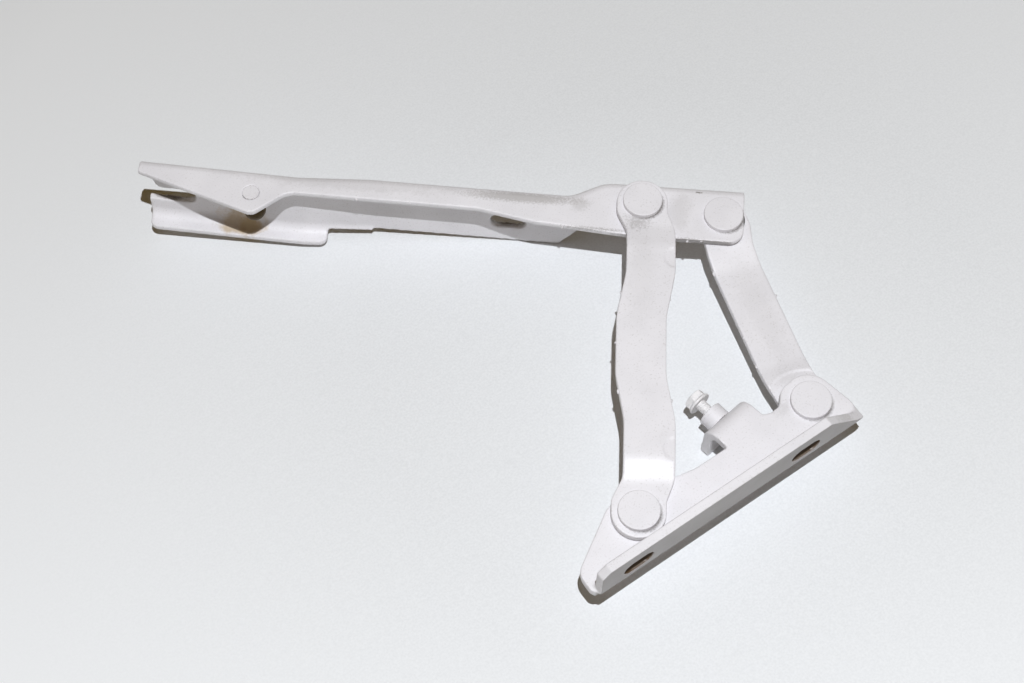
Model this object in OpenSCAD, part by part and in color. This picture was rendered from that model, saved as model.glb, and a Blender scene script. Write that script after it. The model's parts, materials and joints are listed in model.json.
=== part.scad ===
// Car bonnet hinge: a riveted four-bar linkage of folded sheet steel.
// The body bracket is bolted to the car, the bonnet arm carries the bonnet, and two links
// join them. The hinge lies on its side, opened as far as its links let it.
// Origin: centre of the two body bolt slots, on the bracket's mounting face.
// +X runs along the mounting face to the rear, +Y from that face to the pivots,
// and +Z is the direction of every pivot.

/* [Body bracket] */
// Sheet thickness of the body bracket
bracket_t = 5; // [4:0.5:6]
// Height of the mounting flange above the bracket plate
flange_up = 22; // [20:0.5:26]
// Distance between the two body bolt slots
slot_pitch = 98; // [90:1:106]
// Width of a body bolt slot
slot_w = 9.5; // [8.5:0.5:11]
// Overall length of a body bolt slot
slot_l = 16.5; // [14:0.5:20]
// Height of the body bolt slots above the bracket plate
slot_up = 9; // [8:0.5:10]
// Depth of the stop tab below the bracket plate
tab_down = 26; // [24:0.5:30]
// Width of the stop tab
tab_w = 25; // [20:0.5:26]

/* [Linkage] */
// Distance of both base pivots from the mounting face
pivot_up = 21.6; // [20:0.2:24]
// Distance between the two base pivots
base_pitch = 104; // [100:0.5:106]
// Length of the front link between its pivots
front_len = 171; // [165:0.5:176]
// Angle of the front link to the mounting face
front_angle = 52.5; // [51:0.5:54]
// Angle of the bonnet arm to the mounting face
open_angle = 40; // [38:0.5:42]
// Distance between the two pivots of the bonnet arm
arm_pitch = 41.8; // [40:0.2:44]
// Thickness of both links
link_t = 4; // [3:0.5:4.5]
// Width of both links
link_w = 24.6; // [24:0.2:26]

/* [Bonnet arm] */
// Sheet thickness of the bonnet arm
arm_t = 3.5; // [3:0.25:4]
// Depth of the bonnet flange behind the web
arm_deep = 39.5; // [38:0.5:42]
// Depth of the lipped front of the bonnet flange
lip_deep = 44; // [43:0.5:46]
// Height of the front lip
lip_h = 12; // [10:0.5:13]
// Lean of the bonnet flange towards the web
flange_lean = 7; // [4:0.5:9]
// Width of the bonnet bolt slots
bolt_slot_w = 9.5; // [8.5:0.5:10]
// Depth of the bonnet bolt slots behind the web
bolt_slot_deep = 24.5; // [23:0.5:26]

/* [Fasteners] */
// Diameter of the rivet heads
head_d = 20; // [18:0.5:21]
// Thickness of the rivet heads
head_t = 2.5; // [2:0.1:3]
// Diameter of the rivet shanks
shank_d = 10; // [9:0.5:10.5]
// Running clearance round the rivet shanks
running = 0.05; // [0.02:0.01:0.08]
// Diameter of the strut ball
ball_d = 11.5; // [10:0.5:13]
// Distance of the strut ball's centre behind the web
ball_back = 16; // [15:0.5:20]
// Free length of the stop bolt under its head
stop_reach = 6.5; // [6.5:0.5:8]

/* [Hidden] */
$fn = 64;
steps = 10;
joggle_steps = 3;
fold_lap = 0.05;
end_run = 4;
// How far a folded piece is sunk in the faces of the plate that it joins
join_sink = 0.02;
cut_reach = 40;
bend_r = 7;
tab_bend_r = 9;
arm_bend_r = 5.5;
lip_bend_r = 9;
lip_corner_r = 4;
washer_t = 0.8;
end_r = 13;
bush_wall = 1.5;
bush_r = shank_d / 2 + bush_wall;
tail_t = 3;
// Room at the one pivot where the loop of links is left open
loop_room = 3.9;
open_shank_r = 4.5;
open_bush_r = open_shank_r + loop_room;

// Levels: the bracket plate and the arm's web share one front face
face_z = -slot_up;
front_z = washer_t + running;
rear_base_z = -bracket_t - washer_t - running;
rear_arm_z = -arm_t - washer_t - running;
front_raise = 3;
rear_drop = 2.6;

// Pivots: a base and an arm pivot for each link
base_mid_x = 19.3;
front_base = [base_mid_x - base_pitch / 2, pivot_up];
rear_base = [base_mid_x + base_pitch / 2, pivot_up];
front_arm = front_base + front_len * [cos(front_angle), sin(front_angle)];
rear_arm_local = [arm_pitch, -1.8];
rear_arm = front_arm + turned(rear_arm_local, -open_angle);
rear_run = rear_arm - rear_base;
rear_len = norm(rear_run);
rear_angle = atan2(rear_run[1], rear_run[0]);

// Bonnet arm: its fold line and its lower edge from the front to the rear, as corners
// [x, y, radius] in the arm's own frame, which has its origin at the front link's pivot
arm_front_x = -262.5;
arm_rear_x = 52.5;
lip_end_x = -166;
lip_rear_up = 0.5;
tine_end_x = arm_front_x + 0.5;
tine_top_x = arm_front_x + 6.5;
fold_line = [
    [arm_front_x, 8, 0],
    [-179, 5.2, 0],
    [-142, 7.2, 0],
    [-37, 6.4, 13],
    [-20, 16, 20],
    [arm_rear_x, 16.6, 0],
];
lower_edge = [
    [arm_rear_x + fold_lap, -17.4, 8],
    [0, -18, 60],
    [-55, -13.8, 40],
    [-84, -8.4, 30],
    [-183, -7.4, 14],
    [-199.5, -22, 6],
    [arm_front_x - 4, -0.1, 0],
];
ball_at = [arm_front_x + 61, -9.4];
fork_end_x = -236;
oblong_x = [-78.6, -59.4];
taper_x = [-43, -11];
narrow_deep = 8.5;

// Stop tab: its fold line stands a little askew to the mounting face
tab_askew = 7.8;
tab_at = [33.6, 41.4];
tab_root = 27;
stop_down = 13.5;
stop_bolt_r = 3;
stop_nut_r = 6.5;
stop_nut_t = 7.5;
stop_hex_across = 12.5;
stop_head_t = 5.3;

paint = "#e1dede";
bare_steel = "#b7b6b2";
dark_steel = "#3b3733";
bronze = "#8c7043";
polymer = "#2e2d2c";

// A point turned about the origin
function turned(p, a) = [p[0] * cos(a) - p[1] * sin(a), p[0] * sin(a) + p[1] * cos(a)];

// Direction of the run from one corner to the next
function run_angle(p, q) = atan2(q[1] - p[1], q[0] - p[0]);

// How far a path turns at corner b, left turns being positive
function turn_at(a, b, c) = let (d = run_angle(b, c) - run_angle(a, b))
    d > 180 ? d - 360 : d < -180 ? d + 360 : d;

// How far before its corner a rounding starts
function setback(a, b, c) = b[2] * tan(abs(turn_at(a, b, c)) / 2);

// Points of the rounding at corner b between its neighbours
function rounding(a, b, c, n = steps) = b[2] == 0 ? [[b[0], b[1]]] :
    let (turn = turn_at(a, b, c), along = run_angle(a, b), side = turn > 0 ? 90 : -90,
         start = [b[0], b[1]] - setback(a, b, c) * [cos(along), sin(along)],
         centre = start + b[2] * [cos(along + side), sin(along + side)])
    [for (i = [0:n]) centre + turned(start - centre, turn * i / n)];

// A closed outline from corners [x, y, radius]
function outline(corners) = let (n = len(corners))
    [for (i = [0:n - 1]) each rounding(corners[(i + n - 1) % n], corners[i], corners[(i + 1) % n])];

// Puts a shape in the frame of the bonnet arm
module in_arm() {
    translate([front_arm[0], front_arm[1], face_z])
        rotate(-open_angle)
            children();
}

// Puts a shape in the frame of a link, with +X running from its base pivot to the arm
module in_link(base, angle) {
    translate([base[0], base[1], face_z])
        rotate(angle)
            children();
}

// Puts a shape on a pivot
module on_pivot(at) {
    translate([at[0], at[1], face_z])
        children();
}

// A round-ended slot along X, as a solid along Z
module slot(length, width, height) {
    run = length - width;
    translate([-run / 2, -width / 2, 0])
        cube([run, width, height]);
    for (side = [-1, 1])
        translate([side * run / 2, 0, 0])
            cylinder(d = width, h = height);
}

// Cross-section of a square fold: a plate along +X and a leg down -Y or up +Y
module fold_section(thickness, reach, leg, radius) {
    polygon(outline([
        [reach, 0, 0],
        [0, 0, radius],
        [0, leg, 0],
        [thickness, leg, 0],
        [thickness, thickness, radius - thickness],
        [reach, thickness, 0],
    ]));
}

// Plan of the bracket plate behind its flange
bracket_plan = [
    [-72.6, 4.6, 3],
    [-72.5, 14.5, 8],
    [-41, 34, 11],
    [4, 25.6, 12],
    [23, 25.4, 0],
    [46.5, 30, 0],
    [52, 27.8, 3],
    [57.5, 28.4, 4],
    [63.5, 35, 9],
    [82.5, 37, 12],
    [88.5, 6, 4],
    [-69, 6, 0],
    [-70.6, 1.6, 0.5],
];
flange_x = [-70, 88];
flange_chamfer = 27;
flange_nick = [6, 4];

module mounting_flange() {
    difference() {
        translate([flange_x[0], 0, face_z - bracket_t])
            rotate([90, 0, 90])
                linear_extrude(flange_x[1] - flange_x[0])
                    fold_section(bracket_t, bend_r + 2, flange_up + bracket_t, bend_r);
        translate([0, bend_r + 3, face_z])
            rotate([90, 0, 0])
                linear_extrude(bend_r + 4)
                    flange_end_cuts();
        for (side = [-1, 1])
            translate([side * slot_pitch / 2, bracket_t + 1, 0])
                rotate([90, 0, 0])
                    slot(slot_l, slot_w, bracket_t + 2);
    }
}

// What is cut from the ends of the flange, seen square to the mounting face
module flange_end_cuts() {
    polygon([
        [flange_x[1] - flange_chamfer, flange_up + 1],
        [flange_x[1] + 1, flange_up + 1],
        [flange_x[1] + 1, -2],
        [flange_x[1], -2],
    ]);
    polygon([
        [flange_x[0] - 1, flange_up + 1],
        [flange_x[0] + flange_nick[0], flange_up + 1],
        [flange_x[0], flange_up - flange_nick[1]],
        [flange_x[0] - 1, flange_up - flange_nick[1]],
    ]);
}

// Puts a shape on the stop tab: +Y leaves its outer face, +X runs along its fold
module on_tab() {
    translate([tab_at[0], tab_at[1], face_z])
        rotate(tab_askew)
            children();
}

module stop_tab() {
    on_tab()
        difference() {
            translate([-tab_w / 2, 0, -join_sink])
                rotate([90, 0, 90])
                    linear_extrude(tab_w)
                        rotate(180)
                            fold_section(bracket_t - 2 * join_sink, tab_root, tab_down, tab_bend_r);
            translate([0, 1, -stop_down])
                rotate([90, 0, 0])
                    cylinder(r = stop_bolt_r + running, h = bracket_t + 2);
        }
}

module body_bracket() {
    color(paint)
        difference() {
            union() {
                translate([0, 0, face_z - bracket_t])
                    linear_extrude(bracket_t)
                        polygon(outline(bracket_plan));
                mounting_flange();
                stop_tab();
            }
            on_pivot(front_base)
                translate([0, 0, -bracket_t - 1])
                    cylinder(d = shank_d, h = bracket_t + 2);
            on_pivot(rear_base)
                translate([0, 0, -bracket_t - 1])
                    cylinder(r = open_shank_r, h = bracket_t + 2);
        }
}

// Section of the arm's fold square to its fold line, as [height, level] corners.
// The web hangs down, the flange goes back and, in front, a lip turns down again.
fold_web = arm_bend_r + 2;
inner_r = arm_bend_r - arm_t;
web_back = -arm_t + join_sink;
lean_k = (1 + sin(flange_lean)) / cos(flange_lean);
function flange_point(deep) = [-deep * tan(flange_lean), -deep];
function plain_section() = let (tip = flange_point(arm_deep)) [
    [-fold_web, -join_sink, 0],
    [0, -join_sink, arm_bend_r],
    [tip[0], tip[1], 0],
    [tip[0] - arm_t * cos(flange_lean), tip[1] + arm_t * sin(flange_lean), 0],
    [-lean_k * arm_t, web_back, inner_r],
    [-fold_web, web_back, 0],
];
function lipped_section() = let (tip = flange_point(lip_deep), inner = flange_point(lip_deep - arm_t)) [
    [-fold_web, -join_sink, 0],
    [0, -join_sink, arm_bend_r],
    [tip[0], tip[1], lip_bend_r],
    [tip[0] - lip_h, tip[1], 0],
    [tip[0] - lip_h, tip[1] + arm_t, 0],
    [inner[0] - arm_t / cos(flange_lean), inner[1], lip_bend_r - arm_t],
    [-lean_k * arm_t, web_back, inner_r],
    [-fold_web, web_back, 0],
];

// Points along the fold line: its corners, with the joggle rounded
fold_points = let (n = len(fold_line)) [
    for (i = [0:n - 1])
        each rounding(fold_line[max(i - 1, 0)], fold_line[i], fold_line[min(i + 1, n - 1)], joggle_steps),
];

// Direction of the mitre between the runs that meet at point i
function mitre_angle(i) = let (n = len(fold_points) - 1, before = fold_points[max(i - 1, 0)],
                               at = fold_points[i], after = fold_points[min(i + 1, n)])
    90 + (i == 0 ? run_angle(at, after)
        : i == n ? run_angle(before, at)
        : (run_angle(before, at) + run_angle(at, after)) / 2);

// A point on the mitre at point i, given its height over the fold line
function on_mitre(i, height, ahead) = let (a = mitre_angle(i))
    fold_points[i] + height * [cos(a), sin(a)] + ahead * [sin(a), -cos(a)];

// The section run straight from point i to the next, mitred and lapped at both ends
module fold_run(i, section, drop) {
    from = fold_points[i];
    to = fold_points[i + 1];
    spare = 6;
    ends = [i == 0 ? -end_run : -fold_lap, i + 2 == len(fold_points) ? end_run : fold_lap];
    intersection() {
        translate([from[0], from[1], 0])
            rotate(run_angle(from, to))
                translate([-spare, 0, 0])
                    rotate([90, 0, 90])
                        linear_extrude(norm(to - from) + 2 * spare)
                            polygon(outline(section));
        translate([0, 0, -lip_deep - spare])
            linear_extrude(lip_deep + 2 * spare)
                polygon([
                    on_mitre(i, spare, ends[0]),
                    on_mitre(i + 1, spare, ends[1]),
                    on_mitre(i + 1, -drop, ends[1]),
                    on_mitre(i, -drop, ends[0]),
                ]);
    }
}

module arm_fold() {
    lean_drop = lip_deep * tan(flange_lean) + arm_t;
    for (i = [0:len(fold_points) - 2])
        if (i < 2)
            fold_run(i, lipped_section(), lean_drop + lip_h);
        else
            fold_run(i, plain_section(), lean_drop + 2);
}

// The web, up to where the fold's bend starts
module arm_web() {
    last = len(fold_points) - 1;
    top = [
        for (i = [0:last])
            [each on_mitre(i, -arm_bend_r, i == 0 ? -end_run : i == last ? fold_lap : 0), 0],
    ];
    translate([0, 0, -arm_t])
        linear_extrude(arm_t)
            polygon(outline([each top, each lower_edge]));
}

// A shape seen from above the flange, as a cutter through it
module through_flange() {
    translate([0, cut_reach, 0])
        rotate([90, 0, 0])
            linear_extrude(2 * cut_reach)
                children();
}

// What is cut off a corner of the lip to round it, with the lip on the side that is given
module lip_corner(at, side) {
    spare = 5;
    translate([at[0] + side * lip_corner_r, at[1] + lip_corner_r - fold_lap, -lip_deep - 2])
        linear_extrude(arm_t + 3)
            difference() {
                translate([side < 0 ? 0 : -lip_corner_r - spare, -lip_corner_r - spare])
                    square(lip_corner_r + spare);
                circle(r = lip_corner_r);
            }
}

// What is cut from the arm: both ends square, the lip's end, the fork, the slot and the rear taper
module arm_cuts() {
    beyond = lip_deep + 2;
    end_cut = 20;
    for (x = [arm_front_x - end_cut, arm_rear_x])
        translate([x, -cut_reach, -beyond])
            cube([end_cut, 2 * cut_reach, beyond + arm_t]);
    translate([lip_end_x, -cut_reach, -beyond])
        cube([cut_reach, 2 * cut_reach, beyond - arm_deep]);
    lip_low = lip_deep * tan(flange_lean) + lip_h;
    lip_corner([tine_end_x, fold_line[0][1] - lip_low], 1);
    lip_corner([lip_end_x, fold_line[1][1] - lip_low + lip_rear_up], -1);
    through_flange() {
        polygon(outline([
            [arm_front_x - 8, -bolt_slot_deep - bolt_slot_w / 2, 0],
            [fork_end_x, -bolt_slot_deep - bolt_slot_w / 2, bolt_slot_w / 2 - 0.01],
            [fork_end_x, -bolt_slot_deep + bolt_slot_w / 2, bolt_slot_w / 2 - 0.01],
            [tine_top_x, -bolt_slot_deep + bolt_slot_w / 2, 4],
            [tine_top_x - 4, -arm_t - 5, 2],
            [arm_front_x - 8, -arm_t - 5, 0],
        ]));
        polygon([
            [arm_front_x - 8, -bolt_slot_deep],
            [tine_end_x, -bolt_slot_deep],
            [tine_end_x, -beyond],
            [arm_front_x - 8, -beyond],
        ]);
        polygon(outline([
            [taper_x[0], -beyond, 0],
            [taper_x[0], -arm_deep, 13],
            [taper_x[1], -narrow_deep, 16],
            [arm_rear_x + 2, -narrow_deep, 0],
            [arm_rear_x + 2, -beyond, 0],
        ]));
    }
    translate([(oblong_x[0] + oblong_x[1]) / 2, cut_reach, -bolt_slot_deep])
        rotate([90, 0, 0])
            slot(oblong_x[1] - oblong_x[0], bolt_slot_w, 2 * cut_reach);
}

module bonnet_arm() {
    color(paint)
        in_arm()
            difference() {
                union() {
                    arm_web();
                    arm_fold();
                }
                arm_cuts();
                for (at = [[0, 0], rear_arm_local])
                    translate([at[0], at[1], -arm_t - 1])
                        cylinder(d = shank_d, h = arm_t + 2);
                translate([ball_at[0], ball_at[1], -arm_t - 1])
                    cylinder(r = stud_r, h = arm_t + 2);
            }
}

// Plan of a link: a strap that is set aside from its pivots by given amounts, with round ends
module link_plan(length, near, middle, far) {
    half = link_w / 2;
    round_r = end_r - 0.02;
    polygon(outline([
        [-end_r, end_r, round_r],
        [6, end_r, 8],
        [17, half + near, 12],
        [length * 0.27, half + near, 40],
        [length * 0.41, half + middle, 40],
        [length * 0.6, half + middle, 40],
        [length * 0.75, half + far, 40],
        [length - 17, half + far, 12],
        [length - 6, end_r, 8],
        [length + end_r, end_r, round_r],
        [length + end_r, -end_r, round_r],
        [length - 6, -end_r, 8],
        [length - 17, far - half, 12],
        [length * 0.75, far - half, 40],
        [length * 0.6, middle - half, 40],
        [length * 0.41, middle - half, 40],
        [length * 0.27, near - half, 40],
        [17, near - half, 12],
        [6, -end_r, 8],
        [-end_r, -end_r, round_r],
    ]));
}

// Side of a joggled strap: levels of its under face at the base pad, the strap and the arm pad
module link_side(length, base_z, strap_z, arm_z) {
    pad = 15;
    slope = 12;
    soft_r = 20;
    under = [
        [-end_r - 1, base_z, 0],
        [pad, base_z, soft_r],
        [pad + slope, strap_z, soft_r],
        [length - pad - slope, strap_z, soft_r],
        [length - pad, arm_z, soft_r],
        [length + end_r + 1, arm_z, 0],
    ];
    over = [for (i = [len(under) - 1:-1:0]) [under[i][0], under[i][1] + link_t, under[i][2]]];
    polygon(outline([each under, each over]));
}

module joggled_link(length, aside, levels) {
    intersection() {
        translate([0, 0, -cut_reach])
            linear_extrude(2 * cut_reach)
                link_plan(length, aside[0], aside[1], aside[2]);
        translate([0, cut_reach, 0])
            rotate([90, 0, 0])
                linear_extrude(2 * cut_reach)
                    link_side(length, levels[0], levels[1], levels[2]);
    }
}

// Half-round coined marks on the front link's rear edge
coin_r = 6;
coin_deep = 0.5;
coin_at = [0.185, 0.8];

module front_link() {
    aside = -4.5;
    coin_z = front_z + front_raise + link_t - coin_deep;
    color(paint)
        in_link(front_base, front_angle)
            difference() {
                joggled_link(front_len, [aside, 0, aside], [front_z, front_z + front_raise, front_z]);
                for (x = [0, front_len])
                    translate([x, 0, 0])
                        cylinder(r = bush_r, h = cut_reach);
                for (share = coin_at)
                    translate([share * front_len, aside - link_w / 2, coin_z])
                        cylinder(r = coin_r, h = 5);
            }
}

module rear_link() {
    aside = 2.2;
    color(paint)
        in_link(rear_base, rear_angle)
            difference() {
                joggled_link(rear_len, [aside, aside, aside],
                             [rear_base_z - link_t, rear_base_z - link_t - rear_drop, rear_arm_z - link_t]);
                translate([0, 0, -cut_reach])
                    cylinder(r = open_bush_r + bush_wall, h = cut_reach);
                translate([rear_len, 0, -cut_reach])
                    cylinder(r = bush_r, h = cut_reach);
            }
}

// A rivet with a flat head at the front and a peened tail at the back
module pivot_rivet(shank_r, head_z, tail_z) {
    edge = 0.5;
    tail_r = shank_r + 2.6;
    color(paint)
        rotate_extrude()
            polygon(outline([
                [0, head_z + head_t, 0],
                [head_d / 2, head_z + head_t, edge],
                [head_d / 2, head_z, 0],
                [shank_r, head_z, 0],
                [shank_r, tail_z, 0],
                [tail_r, tail_z, 0],
                [tail_r - 0.4, tail_z - tail_t, 1.6],
                [0, tail_z - tail_t, 0],
            ]));
}

module ring(inner, outer, height, tint) {
    color(tint)
        difference() {
            cylinder(r = outer, h = height);
            translate([0, 0, -1])
                cylinder(r = inner, h = height + 2);
        }
}

module front_base_rivet() {
    on_pivot(front_base)
        pivot_rivet(shank_d / 2, front_z + link_t + running, -bracket_t);
}

module front_arm_rivet() {
    on_pivot(front_arm)
        pivot_rivet(shank_d / 2, front_z + link_t + running, -arm_t);
}

module rear_base_rivet() {
    on_pivot(rear_base)
        pivot_rivet(open_shank_r, 0, rear_base_z - link_t - running - backing_t);
}

module rear_arm_rivet() {
    on_pivot(rear_arm)
        pivot_rivet(shank_d / 2, 0, rear_arm_z - link_t - running - backing_t);
}

module link_bush(at, level) {
    on_pivot(at)
        translate([0, 0, level])
            ring(shank_d / 2 + running, bush_r, link_t, bronze);
}

module front_base_bush() {
    link_bush(front_base, front_z);
}

module front_arm_bush() {
    link_bush(front_arm, front_z);
}

// The bush of the open pivot is wide enough for the loop's small mismatch
module rear_base_bush() {
    on_pivot(rear_base)
        translate([0, 0, rear_base_z - link_t])
            ring(open_bush_r, open_bush_r + bush_wall, link_t, bronze);
}

module rear_arm_bush() {
    link_bush(rear_arm, rear_arm_z - link_t);
}

// Thrust washers lie between a link and the sheet that carries it
module thrust_washer(at, level, inner) {
    on_pivot(at)
        translate([0, 0, level])
            ring(inner, end_r - 1.5, washer_t, polymer);
}

module front_base_washer() {
    thrust_washer(front_base, 0, shank_d / 2);
}

module front_arm_washer() {
    thrust_washer(front_arm, 0, shank_d / 2);
}

module rear_base_washer() {
    thrust_washer(rear_base, -bracket_t - washer_t, open_shank_r);
}

module rear_arm_washer() {
    thrust_washer(rear_arm, -arm_t - washer_t, shank_d / 2);
}

// Backing washers carry the tails of the rear rivets behind the rear link
backing_t = 1.2;

module rear_base_backing() {
    on_pivot(rear_base)
        translate([0, 0, rear_base_z - link_t - running - backing_t])
            ring(open_shank_r, end_r - 1, backing_t, bare_steel);
}

module rear_arm_backing() {
    on_pivot(rear_arm)
        translate([0, 0, rear_arm_z - link_t - running - backing_t])
            ring(shank_d / 2, end_r - 2, backing_t, bare_steel);
}

// Puts a shape on the axis of the stop bolt, with +Z leaving the tab's outer face
module on_stop_axis() {
    on_tab()
        translate([0, 0, -stop_down])
            rotate([-90, 0, 0])
                children();
}

module stop_nut() {
    on_stop_axis()
        ring(stop_bolt_r + running, stop_nut_r, stop_nut_t, paint);
}

// Hexagon stop bolt with a chamfered head, screwed through the nut and the tab
module stop_bolt() {
    under_z = stop_nut_t + stop_reach;
    tail_z = -bracket_t - 6;
    hex_r = stop_hex_across / sqrt(3);
    color(bare_steel)
        on_stop_axis() {
            translate([0, 0, tail_z])
                cylinder(r = stop_bolt_r, h = under_z - tail_z + 0.5);
            intersection() {
                translate([0, 0, under_z])
                    cylinder(r = hex_r, h = stop_head_t, $fn = 6);
                translate([0, 0, under_z])
                    rotate_extrude()
                        polygon([
                            [0, 0],
                            [hex_r, 0],
                            [hex_r, stop_head_t - 1],
                            [hex_r - 1.4, stop_head_t],
                            [0, stop_head_t],
                        ]);
            }
        }
}

// Ball stud for the gas strut, riveted flush into the web and standing out behind it
stud_r = 4.3;

module strut_ball_stud() {
    collar_r = 6;
    neck_r = 3.6;
    color(dark_steel)
        in_arm()
            translate([ball_at[0], ball_at[1], 0]) {
                rotate_extrude()
                    polygon([
                        [0, 0.25],
                        [stud_r, 0.25],
                        [stud_r, -arm_t],
                        [collar_r, -arm_t],
                        [collar_r, -arm_t - 3],
                        [neck_r, -arm_t - 4.5],
                        [neck_r, -ball_back],
                        [0, -ball_back],
                    ]);
                translate([0, 0, -ball_back])
                    sphere(d = ball_d);
            }
}

body_bracket();
bonnet_arm();
front_link();
rear_link();
front_base_rivet();
front_arm_rivet();
rear_base_rivet();
rear_arm_rivet();
front_base_bush();
front_arm_bush();
rear_base_bush();
rear_arm_bush();
front_base_washer();
front_arm_washer();
rear_base_washer();
rear_arm_washer();
rear_base_backing();
rear_arm_backing();
stop_nut();
stop_bolt();
strut_ball_stud();
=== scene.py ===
# %% [markdown]
# # A car bonnet hinge in pale paint
# The hinge was pressed and folded from sheet steel, riveted together, and painted in the car's own colour as
# one piece. The solids come from the CAD model, which this script loads as a frame that it never moves or
# changes. Blender's part of the work is what the solids can't say: satin paint that has rubbed thin along the
# cut edges, brown slot walls, a greasy ball, a screw thread, painted shadows under the rivet heads, painted
# shade on a few faces, and the light.

# %% Load the frame
import json
import math

import bmesh
import bpy
from mathutils import Matrix, Vector


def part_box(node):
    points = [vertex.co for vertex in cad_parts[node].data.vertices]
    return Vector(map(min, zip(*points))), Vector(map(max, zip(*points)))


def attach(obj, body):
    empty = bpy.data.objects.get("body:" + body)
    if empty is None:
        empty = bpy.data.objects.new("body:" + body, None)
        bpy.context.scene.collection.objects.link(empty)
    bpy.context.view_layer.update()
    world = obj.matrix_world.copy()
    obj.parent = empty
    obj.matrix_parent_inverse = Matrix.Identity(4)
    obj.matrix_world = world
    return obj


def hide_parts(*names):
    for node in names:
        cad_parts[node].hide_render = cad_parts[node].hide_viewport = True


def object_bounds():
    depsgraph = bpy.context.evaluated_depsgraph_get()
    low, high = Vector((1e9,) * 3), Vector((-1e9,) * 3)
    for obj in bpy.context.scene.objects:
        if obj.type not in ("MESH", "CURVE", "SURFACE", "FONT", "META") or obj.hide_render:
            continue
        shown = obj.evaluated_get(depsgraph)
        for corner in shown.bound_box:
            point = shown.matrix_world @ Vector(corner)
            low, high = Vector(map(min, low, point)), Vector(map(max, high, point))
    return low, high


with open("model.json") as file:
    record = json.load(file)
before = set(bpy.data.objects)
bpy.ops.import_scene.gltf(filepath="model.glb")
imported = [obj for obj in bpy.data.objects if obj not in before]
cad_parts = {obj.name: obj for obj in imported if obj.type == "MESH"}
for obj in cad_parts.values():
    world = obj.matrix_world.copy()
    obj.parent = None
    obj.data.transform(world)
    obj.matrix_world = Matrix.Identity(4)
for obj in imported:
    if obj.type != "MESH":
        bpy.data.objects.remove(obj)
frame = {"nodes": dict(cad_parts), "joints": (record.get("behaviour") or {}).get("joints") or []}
cad_low, cad_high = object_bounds()
nodes = frame["nodes"]
MM = 0.001
print("loaded", len(nodes), "nodes, box", [round(v / MM) for v in cad_high - cad_low], "mm")

# %% [markdown]
# ## Where things are
# Every pivot of the linkage runs along Z, so the hinges in the frame give the middles of the rivets. The
# bonnet arm lies askew in this frame. Its marks are easier to place along the arm, so one function turns arm
# measures in millimetres into a place: x along the arm to the rear, y up the web, z out of the web.

# %% Pivots and the arm's own measures
joints = {joint["name"]: joint for joint in frame["joints"]}
front_base = Vector(joints["front_link_pivot"]["pos_m"])
front_arm = Vector(joints["arm_pivot"]["pos_m"])
ARM_TURN = math.radians(-40)
FLANGE_LEAN = math.radians(-7)
WEB_TURN = (0, 0, ARM_TURN)
FLANGE_TURN = (FLANGE_LEAN, 0, ARM_TURN)
along_arm = Matrix.Rotation(ARM_TURN, 3, "Z")


def on_arm(x, y, z):
    """A place given in the arm's own millimetres."""
    return front_arm + along_arm @ Vector((x, y, z)) * MM


def in_row(x, y, z):
    """A place given in the frame's millimetres."""
    return Vector((x, y, z)) * MM


print("front pivots at", [round(v / MM, 1) for v in front_base], [round(v / MM, 1) for v in front_arm])

# %% [markdown]
# ## Three small helpers for materials
# Colours are given as the hex codes of a paint program, which are sRGB. Blender's shaders count in
# linear light, so one function turns a code into linear values. The next adds a node, sets it and links it:
# a value that is itself a socket becomes a link. Both shader and geometry trees use it. The last starts a
# material whose patterns hang on the object's own coordinates, so they stay put when the hinge folds.

# %% Colour and node helpers
def linear(code):
    """Linear RGBA from an sRGB hex code such as #e4e2e1."""
    parts = [int(code[i:i + 2], 16) / 255 for i in (1, 3, 5)]
    return tuple(p / 12.92 if p <= 0.04045 else ((p + 0.055) / 1.055) ** 2.4 for p in parts) + (1.0,)


def add(tree, kind, inputs=None, **settings):
    """Adds a node, sets its properties, and fills or links its inputs by name or number."""
    node = tree.nodes.new(kind)
    for name, value in settings.items():
        setattr(node, name, value)
    for name, value in (inputs or {}).items():
        if isinstance(value, bpy.types.NodeSocket):
            tree.links.new(value, node.inputs[name])
        else:
            node.inputs[name].default_value = value
    return node


def new_material(name):
    """A new material: the material, its tree, its shader and the object's own coordinates."""
    material = bpy.data.materials.new(name)
    material.use_nodes = True
    tree = material.node_tree
    coords = add(tree, "ShaderNodeTexCoord").outputs["Object"]
    return material, tree, tree.nodes["Principled BSDF"], coords


print("mid grey #808080 is", round(linear("#808080")[0], 3), "in linear light")

# %% [markdown]
# ## A patch of wear and painted shade
# Scuffs, rust, grease and painted shade sit in known places on this hinge. A Mapping node of the Texture kind
# moves, turns and shrinks space so that a patch becomes a ball of radius one round the origin. The length of
# that vector then says how deep inside the patch a point lies, and a noise breaks up the patch's edge.

# %% Patch helper
RAGGED = {"scuff_and_shade": 1.6, "rust_and_shade": 0.3, "grease_and_shade": 0.9, "grime": 3.0, "dust_and_shade": 0.6, "tar": 0.3, "rivet_shadow": 0.25}
PATCH_RIM = 0.95
PATCH_FADE = 0.1


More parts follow.
